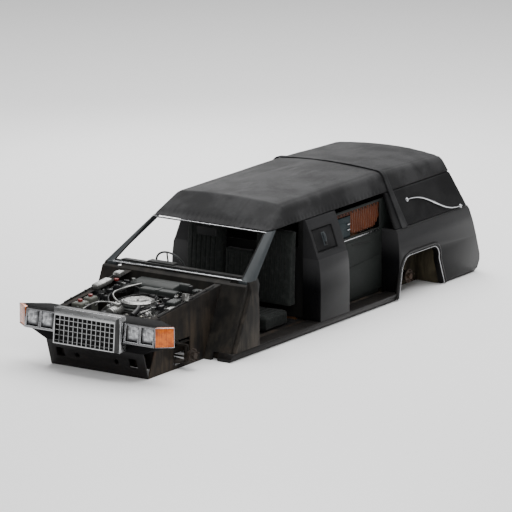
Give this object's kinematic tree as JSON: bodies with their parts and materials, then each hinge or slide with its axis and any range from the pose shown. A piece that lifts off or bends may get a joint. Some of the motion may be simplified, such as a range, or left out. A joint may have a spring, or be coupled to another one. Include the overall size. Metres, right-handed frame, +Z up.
{
  "type": "stripped hearse body on its frame",
  "caption": "Stripped long black hearse shell with landau roof, chrome grille and square lamps, bare hubs, open doorways, cabin, load deck and a side-hung rear door.",
  "frame": {"origin": "on the floor under the middle of the car's length, on its centre line", "axes": "-Y forward, +X to the car's left, +Z up"},
  "size_m": [1.98, 6.377, 1.4639],
  "materials": {
    "chassis": "old chassis paint over rust",
    "floor_paint": "dusty black floor paint",
    "gloss_black": "gloss black coach paint, dusty",
    "dirty_steel": "black paint under road dirt and rust",
    "satin_black": "satin black",
    "radiator_black": "matt black core",
    "chrome": "bright plate, slightly dulled",
    "amber_lens": "ribbed amber lens",
    "engine_iron": "oily cast iron",
    "bare_alloy": "dull bare alloy",
    "battery_case": "moulded black case",
    "heater_case": "grey moulded case",
    "pillar_grey": "worn grey-black paint",
    "dash_black": "grained black moulding",
    "wheel_rim": "hard grey rim",
    "seat_cloth": "dark pleated cloth",
    "post_black": "black paint and padded vinyl",
    "roof_vinyl": "padded grained vinyl",
    "trim_board": "covered trim board",
    "drape_cloth": "rust-brown pleated drape",
    "deck_wood": "varnished deck board",
    "red_lens": "ribbed red lens",
    "rusty_iron": "dirty forged iron",
    "tank_steel": "dirty plated steel",
    "rusty_hub": "surface rust on machined iron"
  },
  "bodies": {
    "shell": {"frame_rails": "chassis", "floor_pan": "floor_paint", "sills": "gloss_black", "bulkhead": "dirty_steel", "hinge_pillars": "dirty_steel", "inner_fenders": "dirty_steel", "radiator_support": "satin_black", "radiator": "radiator_black", "nose_panel": "gloss_black", "grille": "chrome", "headlamps": "chrome", "corner_lamps": "amber_lens", "front_valance": "gloss_black", "engine": "engine_iron", "air_cleaner": "bare_alloy", "battery": "battery_case", "heater_box": "heater_case", "windscreen_frame": "pillar_grey", "dashboard": "dash_black", "steering_column": "dash_black", "rear_view_mirror": "dash_black", "bench_cushion": "seat_cloth", "bench_backrest": "seat_cloth", "partition": "satin_black", "door_posts": "post_black", "coach_lamps": "chrome", "roof_shell": "roof_vinyl", "roof_band": "roof_vinyl", "quarter_panels": "gloss_black", "landau_panels": "roof_vinyl", "landau_bars": "chrome", "wheelhouses": "dirty_steel", "side_trims": "trim_board", "drapes": "drape_cloth", "load_deck": "deck_wood", "tail_lamps": "red_lens", "tail_panel": "gloss_black", "rear_axle": "rusty_iron", "fuel_tank": "tank_steel", "front_suspension": "rusty_iron"},
    "steering_wheel": {"steering_wheel": "wheel_rim"},
    "rear_door": {"rear_door": "gloss_black"},
    "track_rod": {"track_rod": "rusty_iron"},
    "knuckle_left": {"knuckle_left": "rusty_iron"},
    "knuckle_right": {"knuckle_right": "rusty_iron"},
    "front_hub_left": {"front_hub_left": "rusty_hub"},
    "front_hub_right": {"front_hub_right": "rusty_hub"},
    "rear_hub_left": {"rear_hub_left": "rusty_hub"},
    "rear_hub_right": {"rear_hub_right": "rusty_hub"}
  },
  "joints": [
    {"name": "steering_wheel_turn", "type": "hinge", "parent": "shell", "child": "steering_wheel", "pos_m": [-0.37, -1.0195, 0.715], "axis": [0, 0.9063, 0.4226], "range_deg": [-540, 540]},
    {"name": "steer_left", "type": "hinge", "parent": "shell", "child": "knuckle_left", "pos_m": [0.7, -2.3015, 0.155], "axis": [0, 0, 1], "range_deg": [-30.05, 30.05]},
    {"name": "steer_right", "type": "hinge", "parent": "shell", "child": "knuckle_right", "pos_m": [-0.7, -2.3015, 0.155], "axis": [0, 0, 1], "range_deg": [-30.05, 30.05]},
    {"name": "track_rod_slide", "type": "slide", "parent": "shell", "child": "track_rod", "axis": [1, 0, 0], "range_m": [-0.0577, 0.0577]},
    {"name": "front_hub_left_spin", "type": "hinge", "parent": "knuckle_left", "child": "front_hub_left", "pos_m": [0.79, -2.3015, 0.155], "axis": [1, 0, -0.0052], "continuous": true},
    {"name": "front_hub_right_spin", "type": "hinge", "parent": "knuckle_right", "child": "front_hub_right", "pos_m": [-0.79, -2.3015, 0.155], "axis": [1, 0, 0.0052], "continuous": true},
    {"name": "rear_hub_left_spin", "type": "hinge", "parent": "shell", "child": "rear_hub_left", "pos_m": [0.79, 1.9785, 0.155], "axis": [1, 0, -0.0052], "continuous": true},
    {"name": "rear_hub_right_spin", "type": "hinge", "parent": "shell", "child": "rear_hub_right", "pos_m": [-0.79, 1.9785, 0.155], "axis": [1, 0, 0.0052], "continuous": true},
    {"name": "rear_door_swing", "type": "hinge", "parent": "shell", "child": "rear_door", "pos_m": [-0.652, 3.11903, 0.42774], "axis": [0, -0.3297, 0.9441], "range_deg": [0, 100]}
  ],
  "couplings": [
    {"joint": "steer_left", "follows": "steering_wheel_turn", "ratio": 0.055556},
    {"joint": "steer_right", "follows": "steering_wheel_turn", "ratio": 0.055556},
    {"joint": "track_rod_slide", "follows": "steering_wheel_turn", "m_per_rad": -0.0061111}
  ]
}
